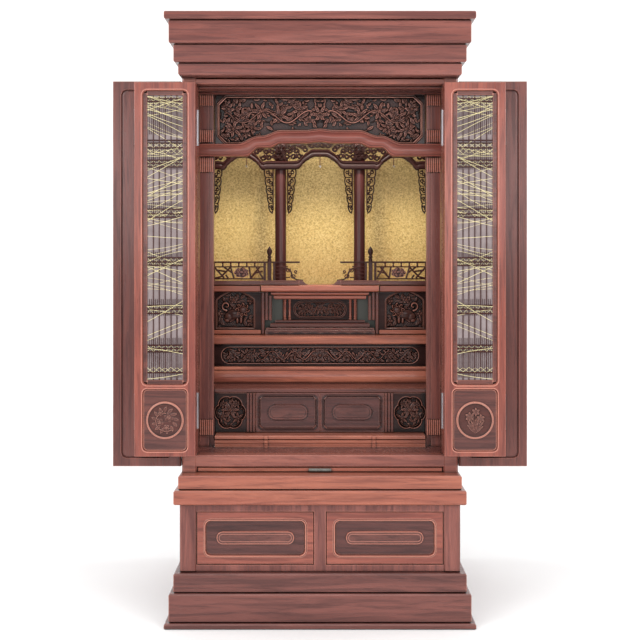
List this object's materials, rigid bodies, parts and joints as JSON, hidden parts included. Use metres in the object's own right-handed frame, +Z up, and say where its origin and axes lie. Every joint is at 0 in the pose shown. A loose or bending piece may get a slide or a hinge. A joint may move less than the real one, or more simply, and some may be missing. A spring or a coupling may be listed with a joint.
{
  "type": "household altar cabinet",
  "caption": "Wooden household altar cabinet on a drawer stand, with folding doors, folding lattice doors, carved panels, an altar, railings and a gilded back.",
  "frame": {"origin": "on the floor under the middle of the cabinet's box", "axes": "+X to the right seen from the front, +Y to the back, +Z up"},
  "size_m": [0.917, 0.54, 1.32],
  "materials": {
    "rosewood": "satin",
    "dark_rosewood": "satin",
    "carved_wood": "satin",
    "gold_leaf": "satin",
    "gauze": "matte",
    "hinge_steel": "brushed"
  },
  "bodies": {
    "cabinet": {"altar_base": "rosewood", "altar_shelf": "rosewood", "altar_top": "rosewood", "altar_waist": "carved_wood", "altar_wing_left": "carved_wood", "altar_wing_right": "carved_wood", "arch_screen": "dark_rosewood", "cabinet_case": "rosewood", "column_left": "rosewood", "column_right": "rosewood", "crown": "rosewood", "frieze": "carved_wood", "front_frame": "rosewood", "gold_panels": "gold_leaf", "hinge_door_left": "hinge_steel", "hinge_door_right": "hinge_steel", "lower_panel_left": "carved_wood", "lower_panel_right": "carved_wood", "lower_step": "rosewood", "lower_top": "rosewood", "pillar_left": "dark_rosewood", "pillar_right": "dark_rosewood", "plinth": "rosewood", "railing_left": "dark_rosewood", "railing_right": "dark_rosewood", "rainbow_beam": "rosewood", "riser": "rosewood", "stand_case": "rosewood", "stand_cornice": "rosewood", "transom": "carved_wood", "hinge_lattice_left_low": "hinge_steel", "hinge_lattice_left_high": "hinge_steel", "hinge_lattice_right_low": "hinge_steel", "hinge_lattice_right_high": "hinge_steel"},
    "door_left_hung_body": {"door_left_hung": "rosewood", "hinge_door_fold_left_low": "hinge_steel", "hinge_door_fold_left_high": "hinge_steel"},
    "door_left_fold_body": {"door_left_fold": "rosewood"},
    "lattice_left_hung_body": {"lattice_left_hung": "rosewood", "grille_left_hung": "gauze", "hinge_lattice_fold_left_low": "hinge_steel", "hinge_lattice_fold_left_high": "hinge_steel"},
    "lattice_left_fold_body": {"lattice_left_fold": "rosewood", "grille_left_fold": "gauze"},
    "stand_drawer_left_body": {"stand_drawer_left": "rosewood"},
    "lower_drawer_left_body": {"lower_drawer_left": "rosewood"},
    "door_right_hung_body": {"door_right_hung": "rosewood", "hinge_door_fold_right_low": "hinge_steel", "hinge_door_fold_right_high": "hinge_steel"},
    "door_right_fold_body": {"door_right_fold": "rosewood"},
    "lattice_right_hung_body": {"lattice_right_hung": "rosewood", "grille_right_hung": "gauze", "hinge_lattice_fold_right_low": "hinge_steel", "hinge_lattice_fold_right_high": "hinge_steel"},
    "lattice_right_fold_body": {"lattice_right_fold": "rosewood", "grille_right_fold": "gauze"},
    "stand_drawer_right_body": {"stand_drawer_right": "rosewood"},
    "lower_drawer_right_body": {"lower_drawer_right": "rosewood"},
    "pull_out_shelf_body": {"pull_out_shelf": "rosewood", "shelf_pull": "hinge_steel"}
  },
  "joints": [
    {"name": "door_left_swing", "type": "hinge", "parent": "cabinet", "child": "door_left_hung_body", "pos_m": [-0.304, -0.205, 0.75], "axis": [0, 0, 1], "range_deg": [0, 180]},
    {"name": "door_left_unfold", "type": "hinge", "parent": "door_left_hung_body", "child": "door_left_fold_body", "pos_m": [-0.4555, -0.184, 0.75], "axis": [0, 0, 1], "range_deg": [0, 180]},
    {"name": "lattice_left_swing", "type": "hinge", "parent": "cabinet", "child": "lattice_left_hung_body", "pos_m": [-0.268, -0.205, 0.75], "axis": [0, 0, 1], "range_deg": [0, 180]},
    {"name": "lattice_left_unfold", "type": "hinge", "parent": "lattice_left_hung_body", "child": "lattice_left_fold_body", "pos_m": [-0.4015, -0.224, 0.75], "axis": [0, 0, -1], "range_deg": [0, 180]},
    {"name": "stand_drawer_left_slide", "type": "slide", "parent": "cabinet", "child": "stand_drawer_left_body", "axis": [0, -1, 0], "range_m": [0, 0.25]},
    {"name": "lower_drawer_left_slide", "type": "slide", "parent": "cabinet", "child": "lower_drawer_left_body", "axis": [0, -1, 0], "range_m": [0, 0.11]},
    {"name": "door_right_swing", "type": "hinge", "parent": "cabinet", "child": "door_right_hung_body", "pos_m": [0.304, -0.205, 0.75], "axis": [0, 0, -1], "range_deg": [0, 180]},
    {"name": "door_right_unfold", "type": "hinge", "parent": "door_right_hung_body", "child": "door_right_fold_body", "pos_m": [0.4555, -0.184, 0.75], "axis": [0, 0, -1], "range_deg": [0, 180]},
    {"name": "lattice_right_swing", "type": "hinge", "parent": "cabinet", "child": "lattice_right_hung_body", "pos_m": [0.268, -0.205, 0.75], "axis": [0, 0, -1], "range_deg": [0, 180]},
    {"name": "lattice_right_unfold", "type": "hinge", "parent": "lattice_right_hung_body", "child": "lattice_right_fold_body", "pos_m": [0.4015, -0.224, 0.75], "axis": [0, 0, 1], "range_deg": [0, 180]},
    {"name": "stand_drawer_right_slide", "type": "slide", "parent": "cabinet", "child": "stand_drawer_right_body", "axis": [0, -1, 0], "range_m": [0, 0.25]},
    {"name": "lower_drawer_right_slide", "type": "slide", "parent": "cabinet", "child": "lower_drawer_right_body", "axis": [0, -1, 0], "range_m": [0, 0.11]},
    {"name": "pull_out_shelf_slide", "type": "slide", "parent": "cabinet", "child": "pull_out_shelf_body", "axis": [0, -1, 0], "range_m": [0, 0.2]}
  ],
  "couplings": [
    {"joint": "lattice_left_swing", "follows": "door_left_swing", "ratio": 1},
    {"joint": "lattice_left_unfold", "follows": "door_left_swing", "ratio": 1},
    {"joint": "lattice_right_swing", "follows": "door_right_swing", "ratio": 1},
    {"joint": "lattice_right_unfold", "follows": "door_right_swing", "ratio": 1}
  ]
}
